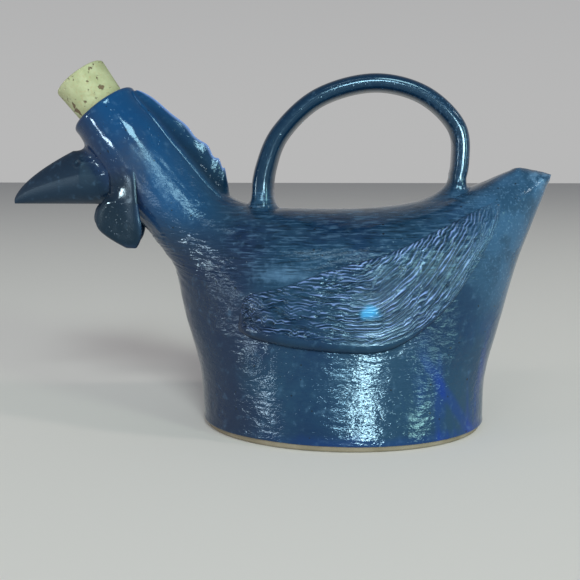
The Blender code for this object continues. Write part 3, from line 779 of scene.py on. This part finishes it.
def beak_rows():
    """Rounded sections that grow from the tip as powers of the distance from it, then a fillet. Each
    nostril is a round pit with a low rim."""
    side, lift = oval(np.linspace(0, 2 * math.pi, 220, endpoint=False), 0.88)
    narrow = 1 - 0.35 * np.maximum(lift, 0)
    root_y = BEAK_WIDTH / 2 * side * narrow
    root_z = BEAK_TIP[2] + BEAK_DEPTH / 2 * (1 + lift)
    root = meet([1, 2], np.stack([root_y, root_z], axis=-1), BEAK_RING, math.pi)
    share = np.linspace(0, 1, 130)[:, None] ** 1.6
    run = BEAK_BLUNT + share * (root[:, 0] - BEAK_FILLET - BEAK_BLUNT - BEAK_TIP[0])
    s = np.minimum(1.0, run / BEAK_LENGTH)
    y = BEAK_WIDTH / 2 * s ** 0.7 * side * narrow
    z = BEAK_TIP[2] + BEAK_DEPTH / 2 * s ** 0.6 * (1 + lift)
    rows = np.stack([BEAK_TIP[0] + run, y, z], axis=-1)
    for pit_x, pit_z, size, depth in NOSTRILS:
        near = np.hypot(rows[..., 0] - pit_x, rows[..., 2] - pit_z) / size
        pit = np.exp(-near ** 2) - 0.35 * np.exp(-(near - 1.9) ** 2 / 0.4)
        rows[..., 1] -= np.sign(side) * depth * pit
    return np.concatenate([rows, fillet(rows[-1], [1, 2], BEAK_SMEAR, BEAK_RING, math.pi, 14)])


smoothed_beak = closed_skin("smoothed_beak", beak_rows(), blue_glaze)
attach(smoothed_beak, "pot")
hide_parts("beak")

# Wattles: a flattened strap of clay down each cheek, luted on below the mouth and hanging free at its
# lower end, which broadens forwards into a lobe.
WATTLE_LENGTH = 0.0400
WATTLE_WIDTH = 0.0205
WATTLE_THICKNESS = 0.0055
WATTLE_SEAT = 0.0013
WATTLE_FRONT = (0.34, 0.36, 0.38, 0.64, 0.60, 0.0)
WATTLE_REAR = (0.34, 0.36, 0.38, 0.41, 0.45, 0.36)


def wattle_rows(hand, forward):
    """Rounded sections down the strap between a front edge and a rear edge, splayed to the rear and
    drawn in at the bottom as a half round. The top lies in the cheek; further down the strap stands
    proud of it and then leaves it."""
    top = MOUTH + np.array([0.295 - forward, 0.0, -0.585]) * NECK_WIDTH
    edges = np.stack([WATTLE_FRONT, WATTLE_REAR], axis=1) * WATTLE_WIDTH
    side, lift = oval(np.linspace(0, 2 * math.pi, 64, endpoint=False), 0.9)
    s = np.sin(np.linspace(0, math.pi / 2, 90))[:-1, None]
    front, rear = np.moveaxis(spline(edges, s * (len(edges) - 1)), -1, 0)
    close = np.sqrt(1 - np.clip((s - 0.90) / 0.10, 0, 1) ** 2)
    free = ease((s - 0.05) / 0.45)
    proud = ease(s / 0.22)
    thick = WATTLE_THICKNESS / 2 * (0.25 + 0.75 * close) * (0.3 + 0.3 * proud + 0.4 * free)
    thick = thick * (0.75 + 0.25 * side ** 2)
    x = (rear - front) / 2 + (rear + front) / 2 * side * (0.55 + 0.45 * close)
    off_axis = (top - MOUTH) @ ACROSS + ACROSS[0] * x - ACROSS[2] * s * WATTLE_LENGTH
    cheek = np.sqrt(np.maximum((NECK_WIDTH / 2 * 0.97) ** 2 - off_axis ** 2, 0))
    cheek = cheek - WATTLE_SEAT * (1 - 0.7 * proud)
    hanging = BEAK_WIDTH * (0.60 + 0.125 * (1 - s) ** 1.3) + (0.45 - 0.15 * s) * x
    y = cheek + (hanging - cheek) * free + thick * lift
    z = np.broadcast_to(-s * WATTLE_LENGTH, x.shape)
    # Painted shade over the strap below its top, less of it along the edges of its lower half and at
    # its end.
    rim = np.maximum(np.abs(side) ** 6 * (s > 0.5), np.clip((s - 0.93) / 0.05, 0, 1))
    ridge = np.clip((s - 0.05) / 0.3, 0, 1) * (0.9 * rim - 1.0)
    return top + np.stack([x, hand * y, z], axis=-1), ridge


for side, hand, forward in (("near", -1, 0.0), ("far", 1, 0.17)):
    wattle_points, wattle_painted_shade = wattle_rows(hand, forward)
    wattle = closed_skin("luted_wattle_" + side, wattle_points, blue_glaze, ridge=wattle_painted_shade)
    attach(wattle, "pot")
    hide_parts("wattle_" + side)

# Handle: a strap of clay pulled from a lump, thick at its front root and thinner towards the rump,
# bent over in a loop and pressed on to the back with the thumbs at both ends.
HANDLE_SPAN = 0.0895
HANDLE_RISE = 0.0555
HANDLE_WIDTH = 0.0190
HANDLE_THICKNESS = 0.0088
HANDLE_FRONT = -0.585 * HALF_LENGTH
HANDLE_PATH = ((0.0, -0.16), (0.0, 0.04), (0.022, 0.32), (0.10, 0.61), (0.29, 0.885), (0.56, 1.0),
               (0.805, 0.91), (0.975, 0.66), (1.0, 0.38), (0.965, 0.15), (0.87, -0.12))
HANDLE_FILLET = 0.0035
HANDLE_SMEAR = 0.0130
FRONT_RING = 8.6
REAR_RING = 6.15


def handle_rows():
    """A rounded strap carried along a curve, and at each end a fillet on to the back. The rear one is
    smeared out further under the loop."""
    path = np.array(HANDLE_PATH) * [HANDLE_SPAN, HANDLE_RISE] + [HANDLE_FRONT, BACK_HEIGHT]
    s = np.linspace(0.152, 0.852, 170)[:, None]
    line = spline(path, s[:, 0] * (len(HANDLE_PATH) - 1))
    run = np.gradient(line, axis=0)
    run /= np.linalg.norm(run, axis=1, keepdims=True)
    side, lift = oval(np.linspace(0, 2 * math.pi, 72, endpoint=False), 0.70)
    swell = 1 + 0.35 * (1 - np.minimum(1, s / 0.35)) ** 1.5 + 1.33 * np.maximum(0, s - 0.85) - 0.15 * s
    pulled = 1 + 0.015 * patchy(s * 9, 0.5, 31)
    half = HANDLE_THICKNESS / 2 * swell * pulled * lift
    x = line[:, :1] - run[:, 1:] * half
    z = line[:, 1:] + run[:, :1] * half
    y = HANDLE_WIDTH / 2 * (0.9 + 0.1 * swell) * side * np.ones_like(x)
    strap = np.stack([x, y, z], axis=-1)
    front = fillet(strap[0], [0, 1], HANDLE_FILLET, FRONT_RING, 0.0, 14)
    smear = HANDLE_FILLET + HANDLE_SMEAR * np.maximum(-lift, 0)[:, None] ** 1.5
    rear = fillet(strap[-1], [0, 1], smear, REAR_RING, 0.0, 24)
    return np.concatenate([front[::-1], strap, rear])


pulled_handle = closed_skin("pulled_handle", handle_rows(), blue_glaze)
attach(pulled_handle, "pot")
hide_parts("handle")

# Cork: a standard tapered stopper punched from bark, its ends eased by the sander. Dark pores run
# through it and open as pits in its sides.
CORK_EASE = 0.0012
CORK_PIT_PITCH = 0.0011
CORK_PIT_DEPTH = 0.0007
CORK_GRAIN_DEPTH = 0.00012
CORK_PORE_DEPTH = 0.0004
CORK_DARK = (0.265, 0.298, 0.167)
CORK_LIGHT = (0.333, 0.373, 0.230)
CORK_GRAIN = (0.30, 0.21, 0.10)
CORK_PORE = (0.09, 0.055, 0.03)

cork_bark, cork_shader, cork_place = new_material("cork_bark")
cork_cloud = cork_place.noise(160.0, 3.0)
cork_grain = cork_place.stretched(1.0, 0.45, 1.0).noise(900.0, 3.0)
cork_pores = cork_place.stretched(1.0, 0.55, 1.0).noise(330.0, 4.0)
cork_colour = cork_cloud.eased(0.3, 0.7).between(CORK_DARK, CORK_LIGHT)
cork_colour = (0.35 * cork_grain.eased(0.5, 0.75)).between(cork_colour, CORK_GRAIN)
cork_colour = (0.9 * cork_pores.eased(0.612, 0.66)).between(cork_colour, CORK_PORE)
cork_normal = (1.0 - cork_pores.eased(0.60, 0.68)).bump(CORK_PORE_DEPTH)
cork_normal = cork_grain.bump(CORK_GRAIN_DEPTH, cork_normal)
dress(cork_shader, Base_Color=cork_colour, Roughness=0.78 + 0.2 * cork_grain, Normal=cork_normal)


def cork_rows():
    """A tapered round bar along the neck's axis, with rounded ends and pits where noise runs high."""
    bend = np.linspace(0, math.pi / 2, 7)
    low = -CORK_DEPTH + CORK_EASE * (1 - np.sin(bend[::-1]))
    high = CORK_PROUD - CORK_EASE * (1 - np.sin(bend))
    height = np.concatenate([low, np.linspace(low.max(), high.min(), 90)[1:-1], high])
    inset = CORK_EASE * (1 - np.cos(bend))
    rounding = np.concatenate([inset[::-1], np.zeros(88), inset])
    turn = np.linspace(0, 2 * math.pi, 220, endpoint=False)[None, :]
    noise = patchy(height[:, None] / CORK_PIT_PITCH, turn * PATCH_CELLS / (4 * math.pi), 41)
    pits = np.clip(noise - 0.55, 0, 1)
    radius = (cork_radius(height) - rounding)[:, None] - CORK_PIT_DEPTH * pits
    ends = np.array([0.97, 0.6, 0.2])
    place = MOUTH + AXIS * height[:, None, None] + ACROSS * (radius * np.cos(turn))[..., None]
    place = place + np.array([0.0, 1.0, 0.0]) * (radius * np.sin(turn))[..., None]
    first = place[0].mean(axis=0) + (place[0] - place[0].mean(axis=0)) * ends[::-1, None, None]
    last = place[-1].mean(axis=0) + (place[-1] - place[-1].mean(axis=0)) * ends[:, None, None]
    return np.concatenate([first, place, last])


tapered_cork = closed_skin("tapered_cork", cork_rows(), cork_bark)
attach(tapered_cork, "cork")
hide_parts("cork_stopper")

# Setting: a plain pale floor, soft light from all round, and eight soft lamps that the glaze mirrors
# as windows would be.
FLOOR_REACH = 6.0
FLOOR_DROP = 0.0001
FLOOR_COLOUR = (0.80, 0.79, 0.77, 1.0)
HORIZON = (0.48, 0.48, 0.48)
ZENITH = (0.20, 0.21, 0.23)
LAMP_AIM = 0.06
floor_mesh = bpy.data.meshes.new("floor")
floor_signs = ((-1, -1), (1, -1), (1, 1), (-1, 1))
floor_corners = [(x * FLOOR_REACH, y * FLOOR_REACH, -FLOOR_DROP) for x, y in floor_signs]
floor_mesh.from_pydata(floor_corners, [], [(0, 1, 2, 3)])
floor_paint, floor_shader, _ = new_material("floor_paint")
dress(floor_shader, Base_Color=FLOOR_COLOUR, Roughness=1.0, Specular_IOR_Level=0.0)
floor_mesh.materials.append(floor_paint)
floor = bpy.data.objects.new("floor", floor_mesh)
scene.collection.objects.link(floor)

world = bpy.data.worlds.new("surround")
world.use_nodes = True
way = Shade(world.node_tree).node("TexCoord", {}, {}, "Generated")
way_up = way.node("SeparateXYZ", {}, {0: way}, 2)
dress(world.node_tree.nodes["Background"], Color=way_up.eased(0.0, 0.80).between(HORIZON, ZENITH))
scene.world = world


def soft_lamp(name, azimuth, elevation, distance, size, watts, colour):
    """A rectangular lamp facing the pot, placed by angles in degrees from the near side."""
    data = bpy.data.lights.new(name, "AREA")
    data.shape = "RECTANGLE"
    data.size, data.size_y = size
    data.energy = watts
    data.color = colour
    lamp = bpy.data.objects.new(name, data)
    a = math.radians(azimuth)
    e = math.radians(elevation)
    away = (math.sin(a) * math.cos(e), -math.cos(a) * math.cos(e), math.sin(e))
    lamp.location = (distance * away[0], distance * away[1], LAMP_AIM + distance * away[2])
    lamp.rotation_euler = (math.pi / 2 - e, 0.0, a)
    scene.collection.objects.link(lamp)


soft_lamp("window_low", 14.6, 3.0, 3.0, (0.54, 0.38), 36.0, (0.985, 1.0, 0.975))
soft_lamp("window_edge", 0.5, 11.0, 3.0, (0.30, 0.22), 11.5, (0.846, 0.96, 1.0))
soft_lamp("window_high", 12, 35, 3.0, (0.75, 0.85), 36.0, (0.88, 0.98, 0.95))
soft_lamp("window_side", 52, 9.7, 3.0, (0.46, 1.10), 29.0, (0.82, 1.0, 0.78))
soft_lamp("window_left", -48, -1.2, 1.2, (0.22, 0.065), 1.7, (1.0, 0.85, 0.85))
soft_lamp("breast_light", -65, 5, 3.0, (0.20, 0.34), 12.0, (1.0, 0.88, 0.82))
soft_lamp("skylight", -14, 48, 3.0, (0.80, 0.25), 3.8, (1.0, 0.88, 0.84))
soft_lamp("tail_light", 76, 37, 3.0, (0.25, 0.25), 10.0, (1.0, 0.85, 0.80))
